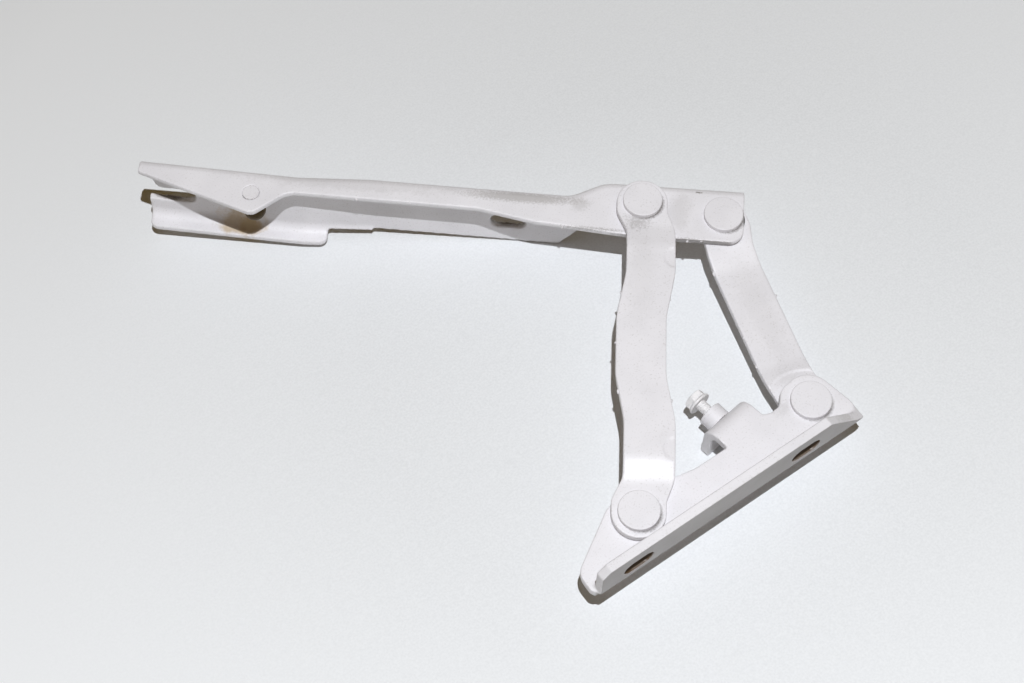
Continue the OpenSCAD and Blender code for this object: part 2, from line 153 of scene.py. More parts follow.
def patch(tree, coords, centre, turn, half_mm, grain_mm, ragged):
    """An ellipsoid mask: 1 inside, 0 outside, with an edge that is more or less ragged."""
    local = add(tree, "ShaderNodeMapping", {
        "Vector": coords, "Location": centre, "Rotation": turn, "Scale": [h * MM for h in half_mm],
    }, vector_type="TEXTURE").outputs[0]
    depth = add(tree, "ShaderNodeVectorMath", {0: local}, operation="LENGTH").outputs["Value"]
    grain = add(tree, "ShaderNodeTexNoise", {
        "Vector": coords, "Scale": 1 / (grain_mm * MM), "Detail": 4.0, "Roughness": 0.7,
    }).outputs["Fac"]
    level = add(tree, "ShaderNodeMath", {0: grain, 1: ragged, 2: depth}, operation="MULTIPLY_ADD").outputs[0]
    rim = PATCH_RIM + ragged / 2
    return add(tree, "ShaderNodeMapRange", {
        "Value": level, "From Min": rim, "From Max": rim - PATCH_FADE - ragged / 4,
    }).outputs[0]


print("the most ragged marks are", max(RAGGED, key=RAGGED.get))

# %% [markdown]
# ## Satin paint on pressed steel
# The paint is a pale, slightly cool silver-white, sprayed on thin and baked. It is neither glossy nor chalky,
# so its roughness is near 0.45, and it has the fine orange-peel of sprayed paint. Along every cut edge it has
# rubbed thin. The Bevel node finds those edges: it rounds the normal near an edge, and where the rounded
# normal leaves the surface's own, the paint is worn. A second, smaller rounding softens the light there.
# Marks are then laid over the paint one by one. A mark with an axis looks at which way the surface faces:
# the mark of dust and painted shade keeps to faces along the axis, and every other kind keeps off them.

# %% Paint
PAINT = linear("#e2e0e3")
PAINT_DULL = linear("#dad8db")
WORN = linear("#968f86")
MARK_COLOURS = {
    "scuff_and_shade": linear("#9b9793"),
    "rust_and_shade": linear("#4c3820"),
    "grease_and_shade": linear("#b0935a"),
    "grime": linear("#6d675f"),
    "dust_and_shade": linear("#7d7875"),
    "rivet_shadow": linear("#57514b"),
    "tar": linear("#241b13"),
}
ON_FACES = ("dust_and_shade",)
OFF_AXIS, ON_AXIS = 0.45, 0.75
EDGE_MM = 0.8
EDGE_START, EDGE_FULL = 0.985, 0.9
SOFT_MM = 0.25
CLOUD_MM = 24
SPECK_MM = 0.9
SPECK_SHOWS = 0.4
FLECK_MM = 0.7
PEEL_MM = 0.9
PEEL_STRENGTH, PEEL_HEIGHT_MM = 0.12, 0.08
PAINT_SMOOTHEST, PAINT_ROUGHEST = 0.4, 0.52
PAINT_IOR = 1.5


def satin_paint(name, marks=()):
    """Painted pressed steel. A mark is (kind, centre, turn, half sizes in mm, grain in mm, strength, axis)."""
    material, tree, shader, coords = new_material(name)
    # the spray lies unevenly: wide clouds of duller paint, and small specks of dirt in it
    cloud = add(tree, "ShaderNodeTexNoise", {"Vector": coords, "Scale": 1 / (CLOUD_MM * MM), "Detail": 3.0})
    cloud = add(tree, "ShaderNodeMapRange", {
        "Value": cloud.outputs["Fac"], "From Min": 0.4, "From Max": 0.7,
    }).outputs[0]
    colour = add(tree, "ShaderNodeMix", {0: cloud, 6: PAINT, 7: PAINT_DULL}, data_type="RGBA").outputs[2]
    speck = add(tree, "ShaderNodeTexNoise", {"Vector": coords, "Scale": 1 / (SPECK_MM * MM), "Detail": 4.0})
    speck = add(tree, "ShaderNodeMapRange", {
        "Value": speck.outputs["Fac"], "From Min": 0.58, "From Max": 0.78,
    }).outputs[0]
    speck = add(tree, "ShaderNodeMath", {0: speck, 1: SPECK_SHOWS}, operation="MULTIPLY").outputs[0]
    colour = add(tree, "ShaderNodeMix", {0: speck, 6: colour, 7: WORN}, data_type="RGBA").outputs[2]
    # wear along the cut edges, broken up into flecks
    rounded = add(tree, "ShaderNodeBevel", {"Radius": EDGE_MM * MM}, samples=6).outputs[0]
    surface = add(tree, "ShaderNodeNewGeometry").outputs["Normal"]
    agree = add(tree, "ShaderNodeVectorMath", {
        0: rounded, 1: surface,
    }, operation="DOT_PRODUCT").outputs["Value"]
    edge = add(tree, "ShaderNodeMapRange", {
        "Value": agree, "From Min": EDGE_START, "From Max": EDGE_FULL,
    }).outputs[0]
    flecks = add(tree, "ShaderNodeTexNoise", {"Vector": coords, "Scale": 1 / (FLECK_MM * MM), "Detail": 3.0})
    flecks = add(tree, "ShaderNodeMapRange", {
        "Value": flecks.outputs["Fac"], "From Min": 0.46, "From Max": 0.6,
    }).outputs[0]
    worn = add(tree, "ShaderNodeMath", {0: edge, 1: flecks}, operation="MULTIPLY").outputs[0]
    colour = add(tree, "ShaderNodeMix", {0: worn, 6: colour, 7: WORN}, data_type="RGBA").outputs[2]
    # the marks, each over the ones before it
    facing = add(tree, "ShaderNodeTexCoord").outputs["Normal"]
    for kind, centre, turn, half_mm, grain_mm, strength, axis in marks:
        mask = patch(tree, coords, centre, turn, half_mm, grain_mm, RAGGED[kind])
        if axis:
            start, end = (OFF_AXIS, ON_AXIS) if kind in ON_FACES else (ON_AXIS, OFF_AXIS)
            along = add(tree, "ShaderNodeVectorMath", {
                0: facing, 1: axis,
            }, operation="DOT_PRODUCT").outputs["Value"]
            along = add(tree, "ShaderNodeMath", {0: along}, operation="ABSOLUTE").outputs[0]
            held = add(tree, "ShaderNodeMapRange", {
                "Value": along, "From Min": start, "From Max": end,
            }).outputs[0]
            mask = add(tree, "ShaderNodeMath", {0: mask, 1: held}, operation="MULTIPLY").outputs[0]
        mask = add(tree, "ShaderNodeMath", {0: mask, 1: strength}, operation="MULTIPLY").outputs[0]
        colour = add(tree, "ShaderNodeMix", {
            0: mask, 6: colour, 7: MARK_COLOURS[kind],
        }, data_type="RGBA").outputs[2]
    # gloss and orange-peel
    rough = add(tree, "ShaderNodeMapRange", {
        "Value": cloud, "To Min": PAINT_SMOOTHEST, "To Max": PAINT_ROUGHEST,
    }).outputs[0]
    soft = add(tree, "ShaderNodeBevel", {"Radius": SOFT_MM * MM}, samples=4).outputs[0]
    peel = add(tree, "ShaderNodeTexNoise", {"Vector": coords, "Scale": 1 / (PEEL_MM * MM), "Detail": 2.0})
    bump = add(tree, "ShaderNodeBump", {
        "Strength": PEEL_STRENGTH, "Distance": PEEL_HEIGHT_MM * MM,
        "Height": peel.outputs["Fac"], "Normal": soft,
    }).outputs[0]
    for socket, value in {"Base Color": colour, "Roughness": rough, "Normal": bump}.items():
        tree.links.new(value, shader.inputs[socket])
    shader.inputs["IOR"].default_value = PAINT_IOR
    return material


print("edges wear within", EDGE_MM, "mm, orange-peel every", PEEL_MM, "mm")

# %% [markdown]
# ## Wear and painted shade on each pressing
# The marks are listed per piece, as they lie on the real hinge. The slots are brown inside, where bolts rubbed
# the paint off, and that brown also stands in as painted shade inside the slots. The axis of the flange keeps
# it on the slot's wall and off the flange's two faces. The web has a grey rub along its middle, a nick near
# its rear end, and a soft band of painted shade just behind its front pivot. The flange behind the strut ball
# is stained with old grease, which also paints the warm shade of the web's shadow there. Dust and painted
# shade darken the bracket flange's face, which is turned away from the lamp, and the web's lower cut edge,
# which faces down.

# %% Marks
FLAT = (0, 0, 0)
FACE_AXIS = Vector((0, 1, 0))
WEB_AXIS = along_arm @ FACE_AXIS
FLANGE_AXIS = along_arm @ Vector((0, math.cos(FLANGE_LEAN), math.sin(FLANGE_LEAN)))
BODY_SLOT_X = 49
BALL = on_arm(-201.5, -9.4, -16)
RIVET_SHADOW_REACH_MM = 1.0
arm_marks = [
    ("scuff_and_shade", on_arm(-62, 0.3, 0), WEB_TURN, (38, 4.2, 4), 1.0, 0.6, None),
    ("scuff_and_shade", on_arm(-150, 1, 0), WEB_TURN, (70, 6, 3), 2.5, 0.2, None),
    ("scuff_and_shade", on_arm(-32, -1, 0), WEB_TURN, (6, 6, 4), 1.2, 0.28, None),
    # painted shade: a soft grey band just behind the front pivot, a dim patch in the web's sheen
    ("scuff_and_shade", on_arm(18, -3, 0), WEB_TURN, (9, 15, 4), 7, 0.22, None),
    ("grime", on_arm(29, 11.5, 0), WEB_TURN, (2.2, 0.7, 2), 3, 0.9, None),
    ("grime", on_arm(-26, -15.5, 0), WEB_TURN, (30, 1.4, 3), 1.0, 0.5, None),
    ("grime", on_arm(22, -17.5, 0), WEB_TURN, (16, 1.2, 3), 1.0, 0.5, None),
    # dust, and painted shade on the web's lower cut edge, which faces down, away from the lamp
    ("dust_and_shade", on_arm(18, -19, -2), WEB_TURN, (40, 5, 6), 3, 0.75, WEB_AXIS),
    # grease, and painted warm shade filling the web's cast shadow on the flange
    ("grease_and_shade", on_arm(-213, -5, -35), FLANGE_TURN, (17, 6, 17), 7, 0.6, None),
    ("grease_and_shade", on_arm(-208, -6, -43), FLANGE_TURN, (8, 6, 13), 2.5, 0.5, None),
    # rust, and painted shade inside the arm's slots
    ("rust_and_shade", on_arm(-69, 5.2, -24.5), FLANGE_TURN, (13, 8, 7.6), 8, 1.0, FLANGE_AXIS),
    ("rust_and_shade", on_arm(-250, 6.0, -24.5), FLANGE_TURN, (18, 8, 7.6), 8, 1.0, FLANGE_AXIS),
]
bracket_marks = [
    # rust, and painted shade inside the bracket's slots
    ("rust_and_shade", in_row(-BODY_SLOT_X, 2.5, 0), FLAT, (12, 12, 7.6), 8, 1.0, FACE_AXIS),
    ("rust_and_shade", in_row(BODY_SLOT_X, 2.5, 0), FLAT, (12, 12, 7.6), 8, 1.0, FACE_AXIS),
    # dust, and painted shade on the flange's outer face, which is turned away from the lamp
    ("dust_and_shade", in_row(8, -1, -1), FLAT, (200, 5, 60), 9, 0.7, FACE_AXIS),
    ("scuff_and_shade", in_row(10, 0, 2), FLAT, (95, 1.5, 13), 1.6, 0.4, None),
    ("scuff_and_shade", in_row(80, 3, 4), FLAT, (14, 6, 10), 2, 0.4, None),
    ("grime", in_row(58, 26, -9), FLAT, (7, 5, 2), 1.2, 0.15, None),
]
front_link_marks = [
    ("grime", front_arm + in_row(-9, -8, 4.8), FLAT, (9, 8, 2), 1.3, 0.4, None),
    ("scuff_and_shade", front_arm + in_row(-28, -36, 8), (0, 0, 0.9), (34, 9, 3), 1.5, 0.1, None),
]
rear_link_marks = [
    ("grime", in_row(73, 40, -16), (0, 0, 0.9), (9, 9, 6), 1.3, 0.12, None),
    ("scuff_and_shade", in_row(87, 80, -18), (0, 0, 1.3), (40, 9, 6), 1.5, 0.1, None),
]
stud_marks = [
    ("tar", BALL, FLAT, (16, 16, 12.5), 3, 1.0, None),
    ("grease_and_shade", BALL, FLAT, (9, 9, 9), 1.1, 0.18, None),
]


def rivet_shadow_ring(rivet):
    """Painted shadow under a rivet head: a dark ring that reaches further below the head than above it."""
    low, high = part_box(rivet)
    middle = (low + high) / 2
    reach = (high.x - low.x) / 2 / MM + RIVET_SHADOW_REACH_MM
    # the painted shadow is shifted down, the way the flash's shadow falls
    centre = Vector((middle.x, middle.y, high.z)) + in_row(0.5, -1.4, -2.5)
    return ("rivet_shadow", centre, FLAT, (reach, reach, 4), 1.0, 0.85, None)


front_link_marks += [rivet_shadow_ring("front_arm_rivet"), rivet_shadow_ring("front_base_rivet")]
arm_marks.append(rivet_shadow_ring("rear_arm_rivet"))
bracket_marks.append(rivet_shadow_ring("rear_base_rivet"))
print(len(arm_marks), "marks on the arm and", len(bracket_marks), "on the bracket")

# %% [markdown]
# ## Rounded edges on the pressings
# A press rolls the edge of the sheet on one side and paint rounds the other, so no edge of the real hinge is
# knife sharp, and its bends run softly into its flats. The CAD mesh is loose triangles. A copy of it is merged
# into one skin and a Remesh modifier wraps that skin in small, even faces. A Smooth modifier then takes the
# sharpness off every edge, which is what press and paint did. The copy rides in place of the CAD node.

# %% Rounded pressings
MERGE_MM = 0.002
SMOOTH_ROUNDS = 2
SMOOTH_SHARE = 0.5
# the body that each pressing rides on, and the grid of its skin in mm
ROUNDED = {
    "bonnet_arm": ("arm", 0.75),
    "body_bracket": ("base", 0.65),
    "front_link": ("front_link", 0.6),
    "rear_link": ("rear_link", 0.6),
}


def plain_copy(holder, name):
    """The evaluated mesh of an object as a fresh object without modifiers."""
    evaluated = holder.evaluated_get(bpy.context.evaluated_depsgraph_get())
    mesh = bpy.data.meshes.new_from_object(evaluated)
    mesh.name = name
    bpy.data.objects.remove(holder)
    result = bpy.data.objects.new(name, mesh)
    bpy.context.scene.collection.objects.link(result)
    print(name, len(mesh.polygons), "faces")
    return result


def rounded_pressing(node, body, grid_mm):
    """A remeshed copy of a CAD node with soft edges, riding in its place."""
    shape = bmesh.new()
    shape.from_mesh(nodes[node].data)
    bmesh.ops.remove_doubles(shape, verts=shape.verts, dist=MERGE_MM * MM)
    sheet = bpy.data.meshes.new(node + "_sheet")
    shape.to_mesh(sheet)
    shape.free()
    holder = bpy.data.objects.new(node + "_sheet", sheet)
    bpy.context.scene.collection.objects.link(holder)
    skin = holder.modifiers.new("even skin", "REMESH")
    skin.mode = "VOXEL"
    skin.voxel_size = grid_mm * MM
    skin.use_smooth_shade = True
    soft = holder.modifiers.new("soft edges", "SMOOTH")
    soft.factor = SMOOTH_SHARE
    soft.iterations = SMOOTH_ROUNDS
    pressing = plain_copy(holder, node + "_pressing")
    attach(pressing, body)
    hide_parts(node)
    return pressing


pressings = {node: rounded_pressing(node, body, grid) for node, (body, grid) in ROUNDED.items()}

# %% [markdown]
# ## The crease on the rear link
# Just outside the bracket's ear, the press left a curved crease on the rear link, where the strap steps back to
# run behind the ear. The skin is fine enough to be pushed: every point of the front face in a ring round the
# base pivot moves back a little, softly at both rims. The inner rim lies hidden behind the ear, and the back
# face stays, because the washer behind it needs the room when the hinge folds.

# %% Crease
BASE_PIVOTS_APART_MM = 104
CREASE_OUT_MM, CREASE_IN_MM = 20.0, 12.5
CREASE_SOFT_MM = 1.6
CREASE_DEEP_MM = 0.7
rear_base = front_base + in_row(BASE_PIVOTS_APART_MM, 0, 0)


def soft_step(value, start):
    """Rises from 0 to 1 over the crease's soft width."""
    share = min(max((value - start) / CREASE_SOFT_MM, 0), 1)
    return share * share * (3 - 2 * share)


strap = pressings["rear_link"].data
facing_front = [max(vertex.normal.z, 0) for vertex in strap.vertices]
pushed = 0
for vertex, front in zip(strap.vertices, facing_front):
    away = (vertex.co - rear_base).to_2d().length / MM
    push = (soft_step(away, CREASE_IN_MM) - soft_step(away, CREASE_OUT_MM)) * front
    vertex.co.z -= push * CREASE_DEEP_MM * MM
    pushed += push > 0
print("crease moved", pushed, "points")

# %% [markdown]
# ## Paint on every painted piece
# The whole hinge went through one paint booth after it was riveted. The rivets and the nut share one plain
# paint, and each pressing has a paint of its own that carries its marks. The ball stud lies under a film of old
# black grease, which is dull, so its specular level is low.

# %% Paint the pressings, rivets, nut and stud
GREASE_SPECULAR = 0.15
paints = {
    "bonnet_arm": satin_paint("satin paint on arm", arm_marks),
    "body_bracket": satin_paint("satin paint on bracket", bracket_marks),
    "front_link": satin_paint("satin paint on front link", front_link_marks),
    "rear_link": satin_paint("satin paint on rear link", rear_link_marks),
}
paint_plain = satin_paint("satin paint on rivets")
paints["strut_ball_stud"] = satin_paint("satin paint and grease on stud", stud_marks)
stud_shader = paints["strut_ball_stud"].node_tree.nodes["Principled BSDF"]
stud_shader.inputs["Specular IOR Level"].default_value = GREASE_SPECULAR
for node in ("front_base_rivet", "front_arm_rivet", "rear_base_rivet", "rear_arm_rivet", "stop_nut"):
    paints[node] = paint_plain
for node, material in paints.items():
    for target in (nodes[node], pressings.get(node, nodes[node])):
        target.data.materials.clear()
        target.data.materials.append(material)
print("painted", len(paints), "nodes")

# %% [markdown]
# ## Zinc, bronze and acetal
# The stop bolt was painted over in the same booth, so pale overspray lies on bright zinc. Between the sheets,
# thin acetal washers and sintered bronze bushes barely show, but they show at the edges when the hinge is
# turned. All three are one recipe: a ground colour, a stain that dulls it, and a fine grain.

# %% Metals and washers
STAIN_START, STAIN_FULL, STAIN_SHIFT = 0.62, 0.78, 0.3
STAIN_ROUGHER = 0.2
STAIN_METAL_LEFT = 0.25
GRAIN_MM = 0.5
GRAIN_STRENGTH, GRAIN_HEIGHT_MM = 0.15, 0.05


def worn_metal(name, bright, stain, stain_mm, share, roughness, metallic):
    """Bare or plated metal, or plastic at metallic 0, with a stain that covers more with a larger share."""
    material, tree, shader, coords = new_material(name)
    film = add(tree, "ShaderNodeTexNoise", {"Vector": coords, "Scale": 1 / (stain_mm * MM), "Detail": 5.0})
    film = add(tree, "ShaderNodeMapRange", {
        "Value": film.outputs["Fac"],
        "From Min": STAIN_START - STAIN_SHIFT * share, "From Max": STAIN_FULL - STAIN_SHIFT * share,
    }).outputs[0]
    colour = add(tree, "ShaderNodeMix", {
        0: film, 6: linear(bright), 7: linear(stain),
    }, data_type="RGBA").outputs[2]
    rough = add(tree, "ShaderNodeMapRange", {
        "Value": film, "To Min": roughness, "To Max": roughness + STAIN_ROUGHER,
    }).outputs[0]
    metal = add(tree, "ShaderNodeMapRange", {
        "Value": film, "To Min": metallic, "To Max": metallic * STAIN_METAL_LEFT,
    }).outputs[0]
    grain = add(tree, "ShaderNodeTexNoise", {"Vector": coords, "Scale": 1 / (GRAIN_MM * MM), "Detail": 2.0})
    bump = add(tree, "ShaderNodeBump", {
        "Strength": GRAIN_STRENGTH, "Distance": GRAIN_HEIGHT_MM * MM, "Height": grain.outputs["Fac"],
    }).outputs[0]
    for socket, value in {"Base Color": colour, "Roughness": rough, "Metallic": metal, "Normal": bump}.items():
        tree.links.new(value, shader.inputs[socket])
    return material


bolt_zinc = worn_metal("zinc plate with overspray", "#d2d1d1", "#e5e3e3", 1.4, 1.0, 0.4, 0.4)
bush_bronze = worn_metal("sintered bronze", "#8c7043", "#4e3d24", 1.2, 0.5, 0.45, 0.9)
washer_acetal = worn_metal("black acetal", "#2b2a29", "#4b4844", 1.5, 0.4, 0.5, 0.0)
bare = {"stop_bolt": bolt_zinc}
for pivot in ("front_base", "front_arm", "rear_base", "rear_arm"):
    bare[pivot + "_bush"] = bush_bronze
    bare[pivot + "_washer"] = washer_acetal
for pivot in ("rear_base", "rear_arm"):
    bare[pivot + "_backing"] = bolt_zinc
for node, material in bare.items():
    nodes[node].data.materials.clear()
    nodes[node].data.materials.append(material)
print("finished", len(bare), "bare nodes")

# %% [markdown]
# ## From a geometry tree to a plain mesh
# A Geometry Nodes tree is a recipe. To hand its result to the hinge, an object gets the tree as a modifier,
# its inputs are set by each socket's identifier, and the evaluated mesh is copied into a fresh object.

# %% Bake helper
def made_by(tree, name, values, points=()):
    """Runs a tree on loose points and returns the result as a plain mesh object."""
    seed = bpy.data.meshes.new(name + "_points")
    seed.from_pydata([tuple(p) for p in points], [], [])
    holder = bpy.data.objects.new(name + "_recipe", seed)
    bpy.context.scene.collection.objects.link(holder)
    recipe = holder.modifiers.new("recipe", "NODES")
    recipe.node_group = tree
    for item in tree.interface.items_tree:
        if item.in_out == "INPUT" and item.name in values:
            recipe[item.identifier] = values[item.name]
    return plain_copy(holder, name)


def new_tree(name, inputs):
    """An empty geometry tree with named inputs, given as name to socket kind."""
    tree = bpy.data.node_groups.new(name, "GeometryNodeTree")
    tree.interface.new_socket("Geometry", in_out="INPUT", socket_type="NodeSocketGeometry")
    for label, kind in inputs.items():
        tree.interface.new_socket(label, in_out="INPUT", socket_type="NodeSocket" + kind)
    tree.interface.new_socket("Geometry", in_out="OUTPUT", socket_type="NodeSocketGeometry")
    return tree, add(tree, "NodeGroupInput").outputs


print("recipes are made plain before they ride")

# %% [markdown]
# ## The stop bolt's thread
# The stop bolt is an M6 screw, and 6.5 mm of its thread shows between nut and head. A spiral curve with a small
# round profile makes the ridges, over a core that is as thin as the root of the thread, so the ridges end at
# the CAD bolt's own radius. The bolt's axis comes from the joint that it slides along.

# %% Thread
BOLT_R = 3.0
RIDGE_R = 0.36
PITCH = 1.0
TAIL_Z, UNDER_HEAD_Z = -11.0, 14.0
NUT_T = 7.5
STEPS_PER_TURN, RIDGE_SIDES, CORE_SIDES = 28, 8, 48
nut_low, nut_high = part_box("stop_nut")
bolt_axis = Vector(joints["stop_adjustment"]["axis"]).normalized()
tab_face = (nut_low + nut_high) / 2 - bolt_axis * NUT_T / 2 * MM
bolt_turn = bolt_axis.to_track_quat("Z", "Y").to_matrix().to_4x4()
bolt_place = Matrix.Translation(tab_face) @ bolt_turn

thread_tree, given = new_tree("screw thread", {
    "Core radius": "Float", "Ridge radius": "Float", "Turns": "Float", "Length": "Float", "Metal": "Material",
})
spiral = add(thread_tree, "GeometryNodeCurveSpiral", {
    "Resolution": STEPS_PER_TURN, "Rotations": given["Turns"], "Start Radius": given["Core radius"],
    "End Radius": given["Core radius"], "Height": given["Length"],
}).outputs[0]
ridge = add(thread_tree, "GeometryNodeCurvePrimitiveCircle", {
    "Resolution": RIDGE_SIDES, "Radius": given["Ridge radius"],
}).outputs[0]
ridges = add(thread_tree, "GeometryNodeCurveToMesh", {
    "Curve": spiral, "Profile Curve": ridge, "Fill Caps": True,
}).outputs[0]
core = add(thread_tree, "GeometryNodeMeshCylinder", {
    "Vertices": CORE_SIDES, "Radius": given["Core radius"], "Depth": given["Length"],
}).outputs[0]
half = add(thread_tree, "ShaderNodeMath", {0: given["Length"], 1: 0.5}, operation="MULTIPLY").outputs[0]
lift = add(thread_tree, "ShaderNodeCombineXYZ", {"Z": half}).outputs[0]
core = add(thread_tree, "GeometryNodeTransform", {"Geometry": core, "Translation": lift}).outputs[0]
both = add(thread_tree, "GeometryNodeJoinGeometry")
thread_tree.links.new(ridges, both.inputs[0])
thread_tree.links.new(core, both.inputs[0])
plain = add(thread_tree, "GeometryNodeRealizeInstances", {"Geometry": both.outputs[0]}).outputs[0]
coated = add(thread_tree, "GeometryNodeSetMaterial", {"Geometry": plain, "Material": given["Metal"]}).outputs[0]
add(thread_tree, "NodeGroupOutput", {"Geometry": coated})

thread_length = UNDER_HEAD_Z - TAIL_Z
thread = made_by(thread_tree, "stop_bolt_thread", {
    "Core radius": (BOLT_R - RIDGE_R) * MM, "Ridge radius": RIDGE_R * MM, "Turns": thread_length / PITCH,
    "Length": thread_length * MM, "Metal": bolt_zinc,
})
thread.data.transform(bolt_place @ Matrix.Translation((0, 0, TAIL_Z * MM)))
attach(thread, "stop")
print("thread of", round(thread_length / PITCH), "turns")

# %% [markdown]
# ## The stop bolt's head
# The head is a hexagon on a round flange, as on many bolts of a car body. It is built by rule, spoke by spoke:
# the rim of the flange, a slope up to the hexagon, the hexagon's side, and a crown cut by a cone, which leaves
# the curved chamfer of a machined head. It stays inside the plain head of the CAD bolt.

# %% Flanged hexagon head
SPOKES = 72
HEX_ACROSS, HEAD_T = 10.0, 5.3
FLANGE_R, FLANGE_RIM_T, FLANGE_T = 6.25, 1.1, 1.9
EDGE_R = 0.25
CROWN_R = HEX_ACROSS / 2 * 0.93
CHAMFER_SLOPE = math.tan(math.radians(30))


def hexagon_radius(angle):
    """Distance from the axis to the side of the hexagon, whose corners start at angle 0."""
    sixth = math.pi / 3
    return HEX_ACROSS / 2 / math.cos(angle % sixth - sixth / 2)


head_mesh = bmesh.new()
rings = []
for spoke in range(SPOKES):
    angle = spoke * 2 * math.pi / SPOKES
    side = hexagon_radius(angle)
    brim = HEAD_T - (side - CROWN_R) * CHAMFER_SLOPE
    profile = [
        (FLANGE_R - EDGE_R, 0), (FLANGE_R, EDGE_R),
        (FLANGE_R, FLANGE_RIM_T - EDGE_R), (FLANGE_R - EDGE_R, FLANGE_RIM_T),
        (side, FLANGE_T), (side, brim), (CROWN_R, HEAD_T), (CROWN_R * 0.5, HEAD_T),
    ]
    rings.append([
        head_mesh.verts.new(Vector((r * math.cos(angle), r * math.sin(angle), UNDER_HEAD_Z + z)) * MM)
        for r, z in profile
    ])
for spoke in range(SPOKES):
    here, there = rings[spoke], rings[(spoke + 1) % SPOKES]
    for step in range(len(here) - 1):
        head_mesh.faces.new((here[step], there[step], there[step + 1], here[step + 1]))
head_mesh.faces.new([ring[-1] for ring in rings])
head_mesh.faces.new([ring[0] for ring in reversed(rings)])
bmesh.ops.recalc_face_normals(head_mesh, faces=head_mesh.faces)
head_data = bpy.data.meshes.new("stop_bolt_head")
head_mesh.to_mesh(head_data)
head_mesh.free()
head_data.transform(bolt_place)
head_data.materials.append(bolt_zinc)
head = bpy.data.objects.new("stop_bolt_head", head_data)
bpy.context.scene.collection.objects.link(head)
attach(head, "stop")
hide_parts("stop_bolt")
print("head", HEX_ACROSS, "mm across,", len(head_data.polygons), "faces")

# %% [markdown]
# ## Burrs on the cut edges
# Where the press tool let go of the sheet it left small burrs, and paint gathered on them. They sit here and
# there on the long edges of the links and the arm. One tree sets a small, randomly turned and sized bead on
# every point that it gets, with a fixed seed.

# %% Burr recipe
BURR_SMALLEST, BURR_LARGEST = (0.5, 0.45, 0.55), (1.7, 0.9, 1.25)
BURR_LEAST_TURN, BURR_MOST_TURN = (0, 0, 0), (0.5, 0.5, 6.28)
burr_tree, given = new_tree("edge burrs", {"Bead radius": "Float", "Seed": "Int", "Paint": "Material"})
bead = add(burr_tree, "GeometryNodeMeshIcoSphere", {
    "Radius": given["Bead radius"], "Subdivisions": 3,
}).outputs[0]
spots = add(burr_tree, "GeometryNodeMeshToPoints", {"Mesh": given["Geometry"]}).outputs[0]
size = add(burr_tree, "FunctionNodeRandomValue", {
    0: BURR_SMALLEST, 1: BURR_LARGEST, "Seed": given["Seed"],
}, data_type="FLOAT_VECTOR").outputs[0]
turn = add(burr_tree, "FunctionNodeRandomValue", {
    0: BURR_LEAST_TURN, 1: BURR_MOST_TURN, "Seed": given["Seed"],
}, data_type="FLOAT_VECTOR").outputs[0]
placed = add(burr_tree, "GeometryNodeInstanceOnPoints", {
    "Points": spots, "Instance": bead, "Rotation": turn, "Scale": size,
}).outputs[0]
plain = add(burr_tree, "GeometryNodeRealizeInstances", {"Geometry": placed}).outputs[0]
smooth = add(burr_tree, "GeometryNodeSetShadeSmooth", {"Geometry": plain}).outputs[0]
coated = add(burr_tree, "GeometryNodeSetMaterial", {"Geometry": smooth, "Material": given["Paint"]}).outputs[0]
add(burr_tree, "NodeGroupOutput", {"Geometry": coated})
print("burr recipe of", len(burr_tree.nodes), "nodes")

# %% [markdown]
# ## Where the burrs sit
# The places are read along each link from its base pivot, or along the arm, and only roughly. Each is then
# moved to the nearest point of the pressing's skin, so that every burr sits on its edge.

# %% Burrs
FRONT_TURN = math.radians(52.5)
REAR_TURN = math.radians(73.9)
FRONT_LEVEL, REAR_LEVEL, ARM_LEVEL = -2.5, -18.5, -1
BEAD_R = 1.0
BURR_SEED = 4
FRONT_BURRS = ((116, 10), (113, -15), (61, 10.5), (57, -15), (88, 12.3))
REAR_BURRS = ((30, 14.5), (47, 14.5), (86, 14.5), (64, -10))
ARM_BURRS = ((-147, -8), (-119, -8.5), (-40, -15), (24, -18), (31, -18))


def on_link(base, turn, x, y, level):
    """A place given along a link from its base pivot, at a level of the frame."""
    flat = base + Matrix.Rotation(turn, 3, "Z") @ Vector((x, y, 0)) * MM
    return Vector((flat.x, flat.y, level * MM))


burr_spots = {
    "front_link": [on_link(front_base, FRONT_TURN, x, y, FRONT_LEVEL) for x, y in FRONT_BURRS],
    "rear_link": [on_link(rear_base, REAR_TURN, x, y, REAR_LEVEL) for x, y in REAR_BURRS],
    "bonnet_arm": [on_arm(x, y, ARM_LEVEL) for x, y in ARM_BURRS],
}
for node, spots in burr_spots.items():
    skin = [v.co for v in pressings[node].data.vertices]
    seated = [min(skin, key=lambda co: (co - spot).length_squared) for spot in spots]
    burrs = made_by(burr_tree, node + "_burrs", {
        "Bead radius": BEAD_R * MM, "Seed": BURR_SEED, "Paint": paints[node],
    }, seated)
    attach(burrs, ROUNDED[node][0])

# %% [markdown]
# ## The table
# The hinge lies on a pale table. A body at rest touches a flat table in three places, and the hinge has few
# such sets of three. The shadow under the lip shows that the lip stands clear, which leaves one: two corners of
# the bracket's stop tab and the rear end of the arm's flange. Those give the table's two small tilts. Its top
# is matt laminate with a faint fibre, drawn coarser than the real one so that it shows. Its tone rises a little
# outwards, because the photograph stays brighter towards its edges than one lamp would leave it.

